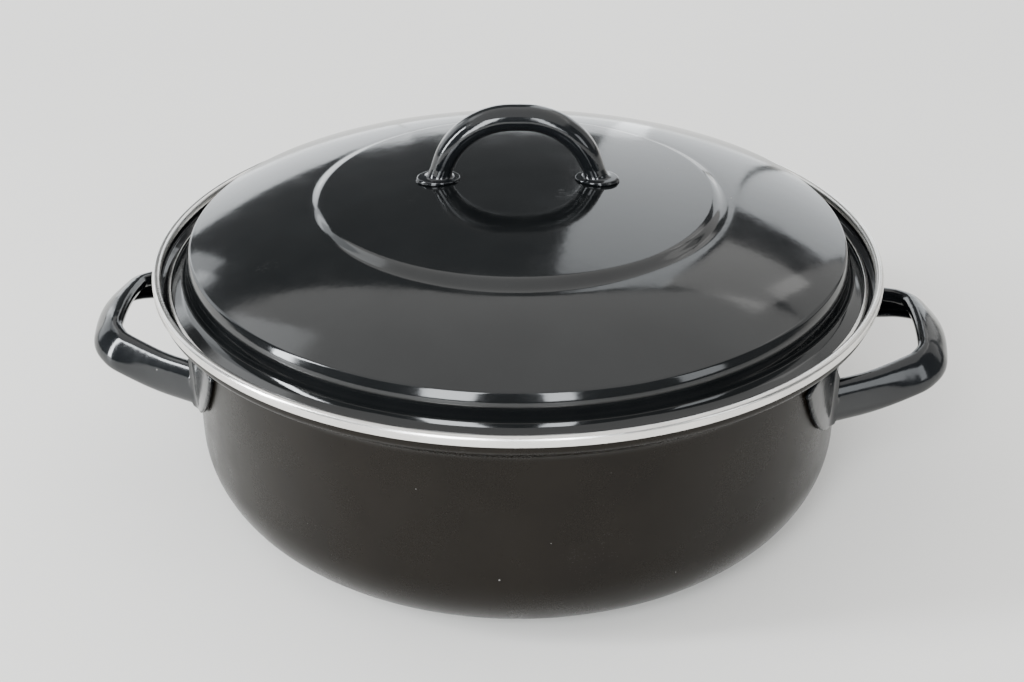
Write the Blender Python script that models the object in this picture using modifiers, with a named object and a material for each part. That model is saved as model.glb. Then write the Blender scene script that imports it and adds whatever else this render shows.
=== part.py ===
"""Covered casserole dish: enamelled steel pot and lid with steel edge bands.

Metres, +Z up. The origin is the middle of the base, on the surface that the pot
stands on. The two side handles lie along +X and -X.
"""
import math

import bmesh
import bpy
from mathutils import Matrix, Vector

MM = 0.001
FIT_GAP = 0.3 * MM            # clearance between pieces that touch

# Pot
RIM_HEIGHT = 98.4 * MM        # top of the pot's edge band
RIM_RADIUS = 140.0 * MM       # outside of the edge band
WALL_RADIUS = 127.2 * MM      # outside of the wall, below the flare
WALL_FOOT_RADIUS = 126.6 * MM
BASE_CORNER = 31.0 * MM
FLARE_TOP = 7.0 * MM          # from the rim down to where the upright edge ends
FLARE_DEPTH = 15.0 * MM       # from the rim down to where the wall turns upright
POT_SHEET = 1.1 * MM

# Pot edge band, a rolled strip
BAND_WIDTH = 3.1 * MM
BAND_DEPTH = 3.7 * MM
BAND_SHEET = 0.55 * MM

# Lid, heights above the rim
LID_SHEET = 1.0 * MM
LID_CENTRE_RISE = 28.3 * MM
PLATEAU_CURVE = 530.0 * MM    # radius of the plateau's gentle dome
PLATEAU_RADIUS = 75.3 * MM
PLATEAU_FOOT_RADIUS = 78.6 * MM
PLATEAU_FOOT_RISE = 20.7 * MM
STEP_ROUNDING = 6.0 * MM
DOME_EDGE_RADIUS = 125.4 * MM
DOME_EDGE_RISE = 7.9 * MM
DOME_SLOPE = math.radians(21.0)       # at the dome's edge
DOME_BULGE = 1.3 * MM
SHOULDER_RADIUS = 127.0 * MM          # the lid's side, under its rounded shoulder
SHOULDER_RISE = 4.2 * MM
SHOULDER_ROUNDING = 9.5 * MM
CREASE_RADIUS = 127.0 * MM
CREASE_RISE = -3.95 * MM
CREASE_ROUNDING = 4.4 * MM
FLANGE_RADIUS = 134.0 * MM
FLANGE_RISE = -6.6 * MM       # the flange slopes down to its edge
LID_BAND_LEG = 0.9 * MM       # how far the edge band reaches, each way from that edge
LID_BAND_SHEET = 0.35 * MM

# Lid bow handle
BOW_SPAN = 61.0 * MM          # between the middles of the feet
BOW_RISE = 52.6 * MM          # middle of the bar at its top, above the rim
BOW_LEAN = math.radians(20.5)
BOW_BEND = 27.0 * MM
BOW_FOOT_BAR = 8.6 * MM
BOW_TOP_WIDTH = 12.5 * MM
BOW_TOP_THICKNESS = 9.8 * MM
# Welded collar round each foot of the bow: (height, how far it reaches beyond the bar)
BOW_COLLAR = ((-3.0 * MM, 3.7 * MM), (0.5 * MM, 3.7 * MM), (1.2 * MM, 3.0 * MM),
              (1.7 * MM, 1.3 * MM), (2.8 * MM, 0.5 * MM), (4.6 * MM, 0.0))
COLLAR_OVAL = 0.65            # its reach across the bow, as a share of the above
BOW_UPRIGHT = 7.0 * MM        # height above the collar where the sections stand across the bar
BOW_TURN = math.radians(3.0)  # how far the lid is turned from the side handles

# Side handles, heights below the rim
GRIP_REACH = 162.0 * MM       # middle of the grip from the pot's axis
LEG_START = (129.2 * MM, 40.5 * MM)
GRIP_CORNER = (159.7 * MM, 25.6 * MM)
GRIP_BEND = 13.3 * MM
ROOT_DROP = 40.0 * MM
GRIP_DROP = 31.7 * MM
ROOT_SECTION = (7.7 * MM, 15.9 * MM)
GRIP_SECTION = (6.8 * MM, 14.6 * MM)
ROOT_LEAN = math.radians(9.6)
GRIP_LEAN = math.radians(51.5)
HANDLE_SHEET = 1.5 * MM
CHANNEL_WRAP = math.radians(140.0)   # how far the channel wraps, each way from outside

# Welded feet of the side handles: angles round the pot from the handle's middle
FOOT_START = math.radians(20.3)
FOOT_FULL = math.radians(24.0)
FOOT_END = math.radians(34.0)
FOOT_TOP_DROP = 19.0 * MM
FOOT_BOTTOM_DROP = 47.9 * MM
FOOT_TAPER = 1.4              # 1 is a straight slant to the tip, 2 is an ellipse
FOOT_SHEET = 1.6 * MM

TURN_STEPS = 48               # sides on every turned piece
ARC_STEPS = 20                # sides that a full circle of an outline would have
LEG_STATIONS = 7
BEND_STATIONS = 6
GRIP_STATIONS = 3
BOW_STATIONS = 8
CHANNEL_POINTS = 10
BAR_POINTS = 14
SECTION_POWER = 2.4           # 2 is an ellipse, more is squarer

BLACK_ENAMEL = ("black_enamel", (0.010, 0.010, 0.012), 0.14, 0.0)
STEEL = ("polished_steel", (0.72, 0.70, 0.67), 0.24, 1.0)


def clear_scene():
    for old in list(bpy.data.objects):
        bpy.data.objects.remove(old, do_unlink=True)


def new_collection(name):
    collection = bpy.data.collections.new(name)
    bpy.context.scene.collection.children.link(collection)
    return collection


def new_material(name, finish):
    _, colour, roughness, metallic = finish
    material = bpy.data.materials.new(name + "_" + finish[0])
    material.use_nodes = True
    shader = material.node_tree.nodes["Principled BSDF"]
    shader.inputs["Base Color"].default_value = (*colour, 1.0)
    shader.inputs["Roughness"].default_value = roughness
    shader.inputs["Metallic"].default_value = metallic
    return material


def smoothstep(value):
    value = min(max(value, 0.0), 1.0)
    return value * value * (3.0 - 2.0 * value)


def blend(start, end, share):
    return start + (end - start) * share


def rounded_outline(corners, steps_per_turn=ARC_STEPS):
    """Points along straight runs, with each corner (x, y, radius) rounded."""
    points = [Vector(corners[0][:2])]
    for before, corner, after in zip(corners, corners[1:], corners[2:]):
        vertex = Vector(corner[:2])
        back = (Vector(before[:2]) - vertex).normalized()
        ahead = (Vector(after[:2]) - vertex).normalized()
        inside = math.acos(max(-1.0, min(1.0, back.dot(ahead))))
        turn = math.pi - inside
        if corner[2] <= 0.0 or turn < 0.01:
            points.append(vertex)
            continue
        centre = vertex + (back + ahead).normalized() * (corner[2] / math.sin(inside / 2.0))
        first = vertex + back * (corner[2] / math.tan(inside / 2.0)) - centre
        way = 1.0 if back.x * ahead.y - back.y * ahead.x < 0.0 else -1.0
        count = max(2, round(turn / (2.0 * math.pi) * steps_per_turn))
        for step in range(count + 1):
            points.append(centre + Matrix.Rotation(way * turn * step / count, 2) @ first)
    points.append(Vector(corners[-1][:2]))
    return points


def link(name, mesh, collection, finish, parent=None):
    obj = bpy.data.objects.new(name, mesh)
    collection.objects.link(obj)
    if finish is not None:
        mesh.materials.append(new_material(name, finish))
    if parent is not None:
        obj.parent = parent
        obj.matrix_parent_inverse = parent.matrix_world.inverted()
    return obj


def turned(name, outline, collection, finish, closed=False, parent=None):
    """A turned piece: the outline, at +X, swept round Z by a Screw modifier."""
    count = len(outline)
    edges = [(i, i + 1) for i in range(count - 1)]
    if closed:
        edges.append((count - 1, 0))
    mesh = bpy.data.meshes.new(name)
    mesh.from_pydata([(p[0], 0.0, p[1]) for p in outline], edges, [])
    obj = link(name, mesh, collection, finish, parent)
    screw = obj.modifiers.new("turn", "SCREW")
    screw.axis = "Z"
    screw.steps = TURN_STEPS
    screw.render_steps = TURN_STEPS
    screw.use_merge_vertices = True
    screw.merge_threshold = 0.00001
    screw.use_smooth_shade = True
    return obj


def thicken(obj, sheet, offset=-1.0):
    solidify = obj.modifiers.new("sheet", "SOLIDIFY")
    solidify.thickness = sheet
    solidify.offset = offset
    solidify.use_even_offset = True


def as_cutter(obj):
    obj.hide_render = True
    obj.display_type = "WIRE"


def combine(obj, other, operation):
    boolean = obj.modifiers.new(operation.lower(), "BOOLEAN")
    boolean.operation = operation
    boolean.solver = "EXACT"
    boolean.object = other


def pot_outline():
    """Outside of the pot: edge, flare, upright wall, round corner, flat base."""
    edge = RIM_RADIUS - 1.0 * MM
    return rounded_outline([
        (edge, RIM_HEIGHT - 1.3 * MM, 0.0),
        (edge, RIM_HEIGHT - FLARE_TOP, 3.0 * MM),
        (WALL_RADIUS, RIM_HEIGHT - FLARE_DEPTH, 5.0 * MM),
        (WALL_FOOT_RADIUS, 0.0, BASE_CORNER),
        (0.0, 0.0, 0.0)])


def pot_band_outline():
    """A strip rolled over the pot's edge: crown on top, a leg on each side."""
    outer = RIM_RADIUS
    inner = RIM_RADIUS - BAND_WIDTH
    crown = BAND_WIDTH / 2.0 - 0.05 * MM
    outside = rounded_outline([
        (inner, RIM_HEIGHT - BAND_DEPTH + 0.6 * MM, 0.0),
        (inner, RIM_HEIGHT, crown),
        (outer, RIM_HEIGHT, crown),
        (outer, RIM_HEIGHT - BAND_DEPTH, 0.0)])
    under = crown - BAND_SHEET
    inside = rounded_outline([
        (outer - BAND_SHEET, RIM_HEIGHT - BAND_DEPTH, 0.0),
        (outer - BAND_SHEET, RIM_HEIGHT - BAND_SHEET, under),
        (inner + BAND_SHEET, RIM_HEIGHT - BAND_SHEET, under),
        (inner + BAND_SHEET, RIM_HEIGHT - BAND_DEPTH + 0.6 * MM, 0.0)])
    return outside + inside


def arc_between(start, end, bulge, steps):
    """Points on a shallow arc; its middle stands bulge above the straight line."""
    start = Vector(start)
    end = Vector(end)
    along = end - start
    side = Vector((-along.y, along.x)).normalized()
    points = []
    for step in range(steps + 1):
        share = step / steps
        points.append(start + along * share + side * bulge * 4.0 * share * (1.0 - share))
    return points


def plateau_height(radius):
    drop = PLATEAU_CURVE - math.sqrt(PLATEAU_CURVE ** 2 - radius ** 2)
    return RIM_HEIGHT + LID_CENTRE_RISE - drop


def lid_outline():
    """Top of the lid: plateau, step, dome, shoulder, crease and flange."""
    plateau = [Vector((share * PLATEAU_RADIUS, plateau_height(share * PLATEAU_RADIUS)))
               for share in (0.0, 0.35, 0.65, 0.88)]
    foot_rise = RIM_HEIGHT + PLATEAU_FOOT_RISE
    step = rounded_outline([
        (*plateau[-1], 0.0),
        (PLATEAU_RADIUS, plateau_height(PLATEAU_RADIUS), STEP_ROUNDING),
        (PLATEAU_FOOT_RADIUS, foot_rise, STEP_ROUNDING),
        (PLATEAU_FOOT_RADIUS + 4.0 * MM, foot_rise - 0.55 * MM, 0.0)])
    run = 1.0 * MM
    dome_end = (DOME_EDGE_RADIUS - run * math.cos(DOME_SLOPE),
                RIM_HEIGHT + DOME_EDGE_RISE + run * math.sin(DOME_SLOPE))
    dome = arc_between(step[-1], dome_end, DOME_BULGE, 4)
    edge = rounded_outline([
        (*dome_end, 0.0),
        (DOME_EDGE_RADIUS, RIM_HEIGHT + DOME_EDGE_RISE, 1.8 * MM),
        (SHOULDER_RADIUS, RIM_HEIGHT + SHOULDER_RISE, SHOULDER_ROUNDING),
        (CREASE_RADIUS, RIM_HEIGHT + CREASE_RISE, CREASE_ROUNDING),
        (FLANGE_RADIUS, RIM_HEIGHT + FLANGE_RISE, 0.0)])
    return plateau + step[1:] + dome[1:] + edge[1:]


def lid_band_outline():
    """A thin strip folded over the flange's edge, open towards the middle."""
    edge = Vector((FLANGE_RADIUS, RIM_HEIGHT + FLANGE_RISE))
    crease = Vector((CREASE_RADIUS, RIM_HEIGHT + CREASE_RISE))
    outward = (edge - crease).normalized()
    upward = Vector((-outward.y, outward.x))
    top = FIT_GAP + LID_BAND_SHEET
    bottom = -LID_SHEET - FIT_GAP - LID_BAND_SHEET
    inner_reach = LID_BAND_LEG - LID_BAND_SHEET
    outside = rounded_outline([
        (-LID_BAND_LEG, top, 0.0),
        (LID_BAND_LEG, top, 0.8 * MM),
        (LID_BAND_LEG, bottom, 0.8 * MM),
        (-LID_BAND_LEG, bottom, 0.0)])
    inside = [Vector((-LID_BAND_LEG, bottom + LID_BAND_SHEET)),
              Vector((inner_reach, bottom + LID_BAND_SHEET)),
              Vector((inner_reach, top - LID_BAND_SHEET)),
              Vector((-LID_BAND_LEG, top - LID_BAND_SHEET))]
    return [edge + outward * point.x + upward * point.y for point in outside + inside]


def loft(name, rings, closed_ring, collection, finish, parent=None):
    """A skin over rings of points; closed rings also get flat ends."""
    shell = bmesh.new()
    rows = [[shell.verts.new(point) for point in ring] for ring in rings]
    count = len(rings[0])
    for row, following in zip(rows, rows[1:]):
        for i in range(count if closed_ring else count - 1):
            j = (i + 1) % count
            shell.faces.new((row[i], row[j], following[j], following[i]))
    if closed_ring:
        shell.faces.new(list(reversed(rows[0])))
        shell.faces.new(rows[-1])
    for face in shell.faces:
        face.smooth = len(face.verts) == 4
    mesh = bpy.data.meshes.new(name)
    shell.to_mesh(mesh)
    shell.free()
    return link(name, mesh, collection, finish, parent)


def superellipse(angle, width, height):
    """A point on a rounded rectangle, at an angle from its outer side."""
    across = math.copysign(abs(math.cos(angle)) ** (2.0 / SECTION_POWER), math.cos(angle))
    up = math.copysign(abs(math.sin(angle)) ** (2.0 / SECTION_POWER), math.sin(angle))
    return width / 2.0 * across, height / 2.0 * up


def side_handle_route():
    """Middle line of half a side handle in plan, from inside the wall to the grip."""
    start = Vector(LEG_START)
    corner = Vector(GRIP_CORNER)
    outward = (corner - start).normalized()
    buried = start - outward * 11.5 * MM
    grip = Vector((corner.x, 0.0))
    bend = rounded_outline([(*start, 0.0), (*corner, GRIP_BEND), (*grip, 0.0)],
                           4 * BEND_STATIONS)[1:-1]
    leg = [buried.lerp(bend[0], step / LEG_STATIONS) for step in range(LEG_STATIONS)]
    grip_run = [bend[-1].lerp(grip, (step + 1) / GRIP_STATIONS)
                for step in range(GRIP_STATIONS)]
    route = leg + bend + grip_run
    crown = GRIP_REACH - corner.x
    for point in route:
        share = min(point.y / corner.y, 1.0)
        point.x += crown * (1.0 - share * share)
    return route


def side_handle_rings():
    """Sections of half a side handle: an upright channel that leans out at the grip."""
    route = side_handle_route()
    start = Vector(LEG_START)
    lengths = [0.0]
    for point, following in zip(route, route[1:]):
        lengths.append(lengths[-1] + (following - point).length)
    free_from = (start - route[0]).length
    rings = []
    for index, point in enumerate(route):
        before = route[max(index - 1, 0)]
        after = route[min(index + 1, len(route) - 1)]
        along = (after - before).normalized()
        if index == len(route) - 1:
            along = Vector((0.0, -1.0))
        outward = Vector((-along.y, along.x))
        share = smoothstep((lengths[index] - free_from) / (lengths[-1] - free_from))
        width = blend(ROOT_SECTION[0], GRIP_SECTION[0], share)
        height = blend(ROOT_SECTION[1], GRIP_SECTION[1], share)
        lean = blend(ROOT_LEAN, GRIP_LEAN, share)
        level = RIM_HEIGHT - blend(ROOT_DROP, GRIP_DROP, share)
        ring = []
        for step in range(CHANNEL_POINTS + 1):
            angle = CHANNEL_WRAP * (1.0 - 2.0 * step / CHANNEL_POINTS)
            across, up = superellipse(angle, width, height)
            shift = across * math.cos(lean) - up * math.sin(lean)
            rise = across * math.sin(lean) + up * math.cos(lean)
            plan = point + outward * shift
            ring.append(Vector((plan.x, plan.y, level + rise)))
        rings.append(ring)
    for point in rings[-1]:
        point.y = 0.0
    return rings


def foot_drops(angle):
    """Top and bottom of a foot, below the rim: it widens, then tapers from below."""
    widening = smoothstep((angle - FOOT_START) / (FOOT_FULL - FOOT_START))
    top = blend(FOOT_BOTTOM_DROP - ROOT_SECTION[1], FOOT_TOP_DROP, widening)
    past = max(0.0, (angle - FOOT_FULL) / (FOOT_END - FOOT_FULL))
    top += 4.0 * MM * past ** 6.0
    full = FOOT_BOTTOM_DROP - FOOT_TOP_DROP
    bottom = FOOT_TOP_DROP + full * (1.0 - past ** FOOT_TAPER) ** (1.0 / FOOT_TAPER)
    return top, max(bottom, top + 0.8 * MM)


def foot_rings():
    """Columns of points over one welded foot, which lies round the wall."""
    radius = WALL_RADIUS + FIT_GAP
    columns = 9
    rings = []
    for column in range(columns + 1):
        angle = blend(FOOT_START, FOOT_END, column / columns)
        top, bottom = foot_drops(angle)
        ring = []
        for row in range(7):
            drop = blend(top, bottom, row / 6.0)
            ring.append(Vector((radius * math.cos(angle), radius * math.sin(angle),
                                RIM_HEIGHT - drop)))
        rings.append(ring)
    return rings


def mirror_across(obj):
    mirror = obj.modifiers.new("other_half", "MIRROR")
    mirror.use_axis = (False, True, False)
    mirror.merge_threshold = 0.00001


def wall_cutter(collection):
    """Everything inside the pot's wall, with the fitting gap."""
    reach = WALL_RADIUS + FIT_GAP
    outline = [(0.0, RIM_HEIGHT - FLARE_DEPTH), (reach, RIM_HEIGHT - FLARE_DEPTH),
               (reach, RIM_HEIGHT - 70.0 * MM), (0.0, RIM_HEIGHT - 70.0 * MM)]
    cutter = turned("wall_cutter", outline, collection, None)
    as_cutter(cutter)
    return cutter


def side_handle(name, turn, parts, cutters, cutter):
    """A pressed channel bent into a loop, with a foot welded to the wall at each end."""
    handle = loft(name, side_handle_rings(), False, parts, BLACK_ENAMEL)
    mirror_across(handle)
    thicken(handle, HANDLE_SHEET)
    feet = loft(name + "_feet", foot_rings(), False, cutters, None)
    mirror_across(feet)
    thicken(feet, FOOT_SHEET, offset=1.0)
    as_cutter(feet)
    for obj in (handle, feet):
        obj.rotation_euler.z = turn
    combine(handle, feet, "UNION")
    combine(handle, cutter, "DIFFERENCE")
    return handle


def bow_route():
    """Middle line of the lid's bow above its collars, from one side to the other."""
    foot_rise = plateau_height(BOW_SPAN / 2.0)
    top = RIM_HEIGHT + BOW_RISE
    lean = math.tan(BOW_LEAN)
    height = top - foot_rise
    free = Vector((BOW_SPAN / 2.0 - lean * BOW_UPRIGHT, foot_rise + BOW_UPRIGHT))
    corner = Vector((BOW_SPAN / 2.0 - lean * height, top))
    half = rounded_outline([(*free, 0.0), (*corner, BOW_BEND), (0.0, top, 0.0)],
                           4 * BOW_STATIONS)
    side = half[:-1]
    return side + [half[-1]] + [Vector((-point.x, point.y)) for point in reversed(side)]


def bow_collar_rings(side):
    """Level sections through one collar and the foot of the bar, from below upward."""
    foot_rise = plateau_height(BOW_SPAN / 2.0)
    rings = []
    for height, reach in BOW_COLLAR:
        middle = side * (BOW_SPAN / 2.0 - math.tan(BOW_LEAN) * height)
        along = side * (BOW_FOOT_BAR / 2.0 / math.cos(BOW_LEAN) + reach)
        across = BOW_FOOT_BAR / 2.0 + reach * COLLAR_OVAL
        ring = []
        for step in range(BAR_POINTS):
            angle = 2.0 * math.pi * step / BAR_POINTS
            ring.append(Vector((middle + along * math.cos(angle), across * math.sin(angle),
                                foot_rise + height)))
        rings.append(ring)
    return rings


def bow_rings():
    """Sections of the lid's bow: round at the feet, wider and flatter on top."""
    route = bow_route()
    foot_rise = plateau_height(BOW_SPAN / 2.0)
    top = RIM_HEIGHT + BOW_RISE
    rings = bow_collar_rings(1.0)
    for index, point in enumerate(route):
        before = route[max(index - 1, 0)]
        after = route[min(index + 1, len(route) - 1)]
        along = (after - before).normalized()
        normal = Vector((along.y, -along.x))
        share = smoothstep(1.3 * (point.y - foot_rise) / (top - foot_rise))
        thickness = blend(BOW_FOOT_BAR, BOW_TOP_THICKNESS, share)
        width = blend(BOW_FOOT_BAR, BOW_TOP_WIDTH, share)
        ring = []
        for step in range(BAR_POINTS):
            angle = 2.0 * math.pi * step / BAR_POINTS
            offset = normal * (math.cos(angle) * thickness / 2.0)
            ring.append(Vector((point.x + offset.x, math.sin(angle) * width / 2.0,
                                point.y + offset.y)))
        rings.append(ring)
    rings += reversed(bow_collar_rings(-1.0))
    turn = Matrix.Rotation(BOW_TURN, 3, "Z")
    return [[turn @ point for point in ring] for ring in rings]


def lid_cutter(collection):
    """Everything under the lid's plateau, with the fitting gap."""
    reach = PLATEAU_RADIUS - 6.0 * MM
    outline = [(reach * step / 8.0, plateau_height(reach * step / 8.0) + FIT_GAP)
               for step in range(9)]
    floor = RIM_HEIGHT
    outline += [(reach, floor), (0.0, floor)]
    cutter = turned("lid_cutter", outline, collection, None)
    as_cutter(cutter)
    return cutter


def build():
    clear_scene()
    parts = new_collection("covered_casserole_dish")
    cutters = new_collection("cutters")
    lid = bpy.data.objects.new("lid_lift_axis", None)
    lid.location = (0.0, 0.0, RIM_HEIGHT)
    parts.objects.link(lid)
    bpy.context.view_layer.update()

    pot = turned("pot_body", pot_outline(), parts, BLACK_ENAMEL)
    thicken(pot, POT_SHEET)
    turned("pot_rim_band", pot_band_outline(), parts, STEEL, closed=True)
    wall = wall_cutter(cutters)
    side_handle("right_side_handle", 0.0, parts, cutters, wall)
    side_handle("left_side_handle", math.pi, parts, cutters, wall)

    lid_shell = turned("lid_shell", lid_outline(), parts, BLACK_ENAMEL, parent=lid)
    thicken(lid_shell, LID_SHEET)
    turned("lid_edge_band", lid_band_outline(), parts, STEEL, closed=True, parent=lid)
    bow = loft("lid_bow_handle", bow_rings(), True, parts, BLACK_ENAMEL, parent=lid)
    combine(bow, lid_cutter(cutters), "DIFFERENCE")


build()
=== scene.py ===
"""Looks for the covered casserole dish: black enamel on pressed steel, with steel bands.

Metres, +Z up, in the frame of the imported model. Every piece stands for one CAD node.
Lengths are written in millimetres times MM. Outlines of what is turned round Z are
(radius, height) points. Colours are linear red, green and blue.
"""
import math

import bmesh
import bpy
from mathutils import Matrix, Vector, noise


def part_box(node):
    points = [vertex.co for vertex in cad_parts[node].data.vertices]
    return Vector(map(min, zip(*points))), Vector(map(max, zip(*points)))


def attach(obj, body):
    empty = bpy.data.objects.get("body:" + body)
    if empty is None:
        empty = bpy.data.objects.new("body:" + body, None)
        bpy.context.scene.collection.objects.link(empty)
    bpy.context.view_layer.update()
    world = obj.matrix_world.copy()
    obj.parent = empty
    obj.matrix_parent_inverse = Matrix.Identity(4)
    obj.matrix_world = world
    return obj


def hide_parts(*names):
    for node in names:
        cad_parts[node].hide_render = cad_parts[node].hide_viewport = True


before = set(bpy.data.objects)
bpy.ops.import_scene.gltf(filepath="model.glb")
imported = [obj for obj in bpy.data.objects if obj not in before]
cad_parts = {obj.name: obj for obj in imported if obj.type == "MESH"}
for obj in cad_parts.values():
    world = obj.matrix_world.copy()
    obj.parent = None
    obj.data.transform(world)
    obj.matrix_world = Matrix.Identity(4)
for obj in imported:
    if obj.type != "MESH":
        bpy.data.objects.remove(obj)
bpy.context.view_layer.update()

MM = 0.001

# Driving sizes, read from the frame
RIM_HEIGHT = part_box("pot_rim_band")[1].z
RIM_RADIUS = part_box("pot_rim_band")[1].x
LID_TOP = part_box("lid_shell")[1].z

FIT_GAP = 0.3 * MM

# Pot
WALL_RADIUS = RIM_RADIUS - 12.8 * MM
WALL_FOOT_RADIUS = WALL_RADIUS - 0.6 * MM
BASE_CORNER = 31.0 * MM
BASE_FLAT = 30.0 * MM             # any radius on the flat of the base
EDGE_INSET = 1.0 * MM             # the sheet's edge, in from the outside of the band
EDGE_DROP = 1.3 * MM              # and below its top
FLARE_TOP = 7.0 * MM
FLARE_DEPTH = 15.0 * MM
FLARE_TOP_BEND = 3.0 * MM
FLARE_FOOT_BEND = 5.0 * MM
POT_SHEET = 1.1 * MM
BAND_WIDTH = 3.1 * MM
BAND_DEPTH = 3.7 * MM
BAND_SHEET = 0.55 * MM
BAND_INNER_RISE = 0.6 * MM        # the inner leg ends this much above the outer one

# Lid, heights above the rim
LID_SHEET = 1.0 * MM
PLATEAU_CURVE = 530.0 * MM
PLATEAU_RADIUS = 75.3 * MM
PLATEAU_FOOT_RADIUS = 78.6 * MM
PLATEAU_FOOT_RISE = 20.7 * MM
STEP_ROUNDING = 6.0 * MM
STEP_LEAD = 3.0 * MM              # the step's outline starts this far in from its top
STEP_RUN_OUT = (4.0 * MM, -0.55 * MM)   # and ends this far out and up from its foot
DOME_EDGE_RADIUS = 125.4 * MM
DOME_EDGE_RISE = 7.9 * MM
DOME_SLOPE = math.radians(21.0)
DOME_BULGE = 1.3 * MM
DOME_EDGE_RUN = 1.0 * MM          # length of the straight slope before the dome's edge
DOME_EDGE_ROUNDING = 1.8 * MM
SHOULDER_RADIUS = 127.0 * MM
SHOULDER_RISE = 4.2 * MM
SHOULDER_ROUNDING = 9.5 * MM
CREASE_RADIUS = 127.0 * MM
CREASE_RISE = -3.95 * MM
CREASE_ROUNDING = 4.4 * MM
FLANGE_RADIUS = 134.0 * MM
FLANGE_RISE = -6.6 * MM
LID_BAND_LEG = 0.9 * MM
LID_BAND_SHEET = 0.35 * MM
LID_BAND_FOLD = 0.8 * MM

# Bow on the lid
BOW_SPAN = 61.0 * MM
BOW_RISE = 52.6 * MM
BOW_LEAN = math.radians(20.5)
BOW_BEND = 27.0 * MM
BOW_FOOT_BAR = 8.6 * MM
BOW_TOP_WIDTH = 12.5 * MM
BOW_TOP_THICKNESS = 9.8 * MM
BOW_UPRIGHT = 7.0 * MM            # above this the sections stand across the bar
BOW_WIDENING = 1.3                # above 1, the bar has its top section before the top
COLLAR_REACH = 3.7 * MM
COLLAR_HEIGHT = 1.3 * MM
COLLAR_SLOPE = 0.35 * MM
COLLAR_EDGE = 0.6 * MM
COLLAR_ROOT = 1.5 * MM
COLLAR_WAIST = 0.1 * MM           # what is left of the collar where the bar starts
COLLAR_BURIED = 3.0 * MM
COLLAR_STOP = 1.6 * MM            # from its last ring to the first upright section
COLLAR_OVAL = 0.65                # reach across the bow, as a share of reach along it
UNDER_BOW_REACH = 60.0 * MM
BOW_TURN = math.radians(3.0)

# Side handles, heights below the rim
LEG_START = (129.2 * MM, 40.5 * MM)
GRIP_CORNER = (159.7 * MM, 25.6 * MM)
GRIP_CROWN = 2.3 * MM
GRIP_BEND = 13.3 * MM
ROOT_DROP = 40.0 * MM
GRIP_DROP = 31.7 * MM
ROOT_SECTION = (7.7 * MM, 15.9 * MM)
GRIP_SECTION = (6.8 * MM, 14.6 * MM)
ROOT_LEAN = math.radians(9.6)
GRIP_LEAN = math.radians(51.5)
HANDLE_SHEET = 1.5 * MM
CHANNEL_WRAP = math.radians(140.0)
SECTION_POWER = 2.4
LEG_BURIED = 11.5 * MM            # length of leg inside the wall, cut away later
WALL_CUT_DEPTH = 75.0 * MM
FOOT_START = math.radians(20.3)
FOOT_FULL = math.radians(24.0)
FOOT_END = math.radians(34.0)
FOOT_TOP_DROP = 19.0 * MM
FOOT_BOTTOM_DROP = 47.9 * MM
FOOT_TAPER = 1.4
FOOT_TIP_DROP = 4.0 * MM          # how far the top edge falls towards the tip
FOOT_TIP_FALL = 6.0               # power of that fall, so that it comes near the tip
FOOT_TIP_HEIGHT = 0.8 * MM
FOOT_BEND = 7.0 * MM
FOOT_SHEET = 1.6 * MM

# Fineness
TURN_STEPS = 256
UNDER_BOW_STEPS = 128
WALL_CUT_STEPS = 360
ARC_ANGLE = math.radians(7.5)     # widest step round an arc
WALL_STEP = 2.4 * MM              # longest straight run in an outline
BASE_STEP = 8.0 * MM
STRIP_STEP = 0.8 * MM
EDGE_STEP = 0.6 * MM
BOW_STEP = 1.0 * MM
COLLAR_STEP = 0.5 * MM
HANDLE_STEP = 1.6 * MM
LID_PARTS = 30                    # runs across the plateau, and across the dome
BAR_SIDES = 64
CHANNEL_SIDES = 30
FOOT_COLUMNS = 24
FOOT_ROWS = 18
ARC_SLACK = 0.01 * MM             # keeps the two arcs of a round end from touching
CROWN_SLACK = 0.05 * MM
SAME_POINT = 0.00001 * MM
NEARLY_ZERO = 1e-7
ENAMEL_VOXEL = 0.5 * MM
ENAMEL_ROUNDING = 4               # smoothing passes that give the enamel its soft edges
ENAMEL_COAT = 0.25 * MM           # what the rounding takes off thin edges, put on first
ENAMEL_FACES_KEPT = 0.5

# Enamel, each as the two colours that its mottling runs between
# Black enamel, its warm brownish cast partly a painted reflection of a warm floor.
SATIN_BLACK = ((0.0030, 0.0022, 0.0014), (0.0048, 0.0037, 0.0026))
INSIDE_BLACK = ((0.006, 0.006, 0.007), (0.009, 0.009, 0.010))
WORN_BLACK = ((0.012, 0.011, 0.011), (0.020, 0.018, 0.017))
LID_BLACK = ((0.0030, 0.0034, 0.0037), (0.0050, 0.0055, 0.0058))
HANDLE_BLACK = ((0.0028, 0.0034, 0.0042), (0.0048, 0.0055, 0.0062))
MARK_GREY = (0.15, 0.145, 0.14, 1.0)
HAIRLINE_CUT = 0.8                # of the noise, so higher means fewer hairlines
SCRATCHED_PATCH = 22.0 * MM

# Steel strip
STEEL = (0.80, 0.78, 0.75)
WORN_STEEL = 0.86                 # worn places keep this share of the colour
LINES_ROUND = 12.0                # noise cells per metre, round the rim
LINES_ACROSS = 5000.0             # and across the strip

# Stage
FLOOR_HALF = 9.0
FLOOR_DROP = 0.2 * MM             # keeps the floor just clear of the base
FLOOR_COLOURS = ((0.74, 0.72, 0.69, 1.0), (0.77, 0.75, 0.72, 1.0))
CEILING_RISE = 3.0
CEILING_SIZE = 6.0
FAR = 3.0                         # distance of the light cards
NEAR = 1.5
FLOOR_LEVEL = -4.8                # degrees, about where a near card meets the floor
COOL = (0.93, 0.97, 1.0)
WHITE = (1.0, 0.99, 0.97)
ROOM_COLOUR = (0.86, 0.90, 0.92, 1.0)
ROOM_STRENGTH = 0.22

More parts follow.
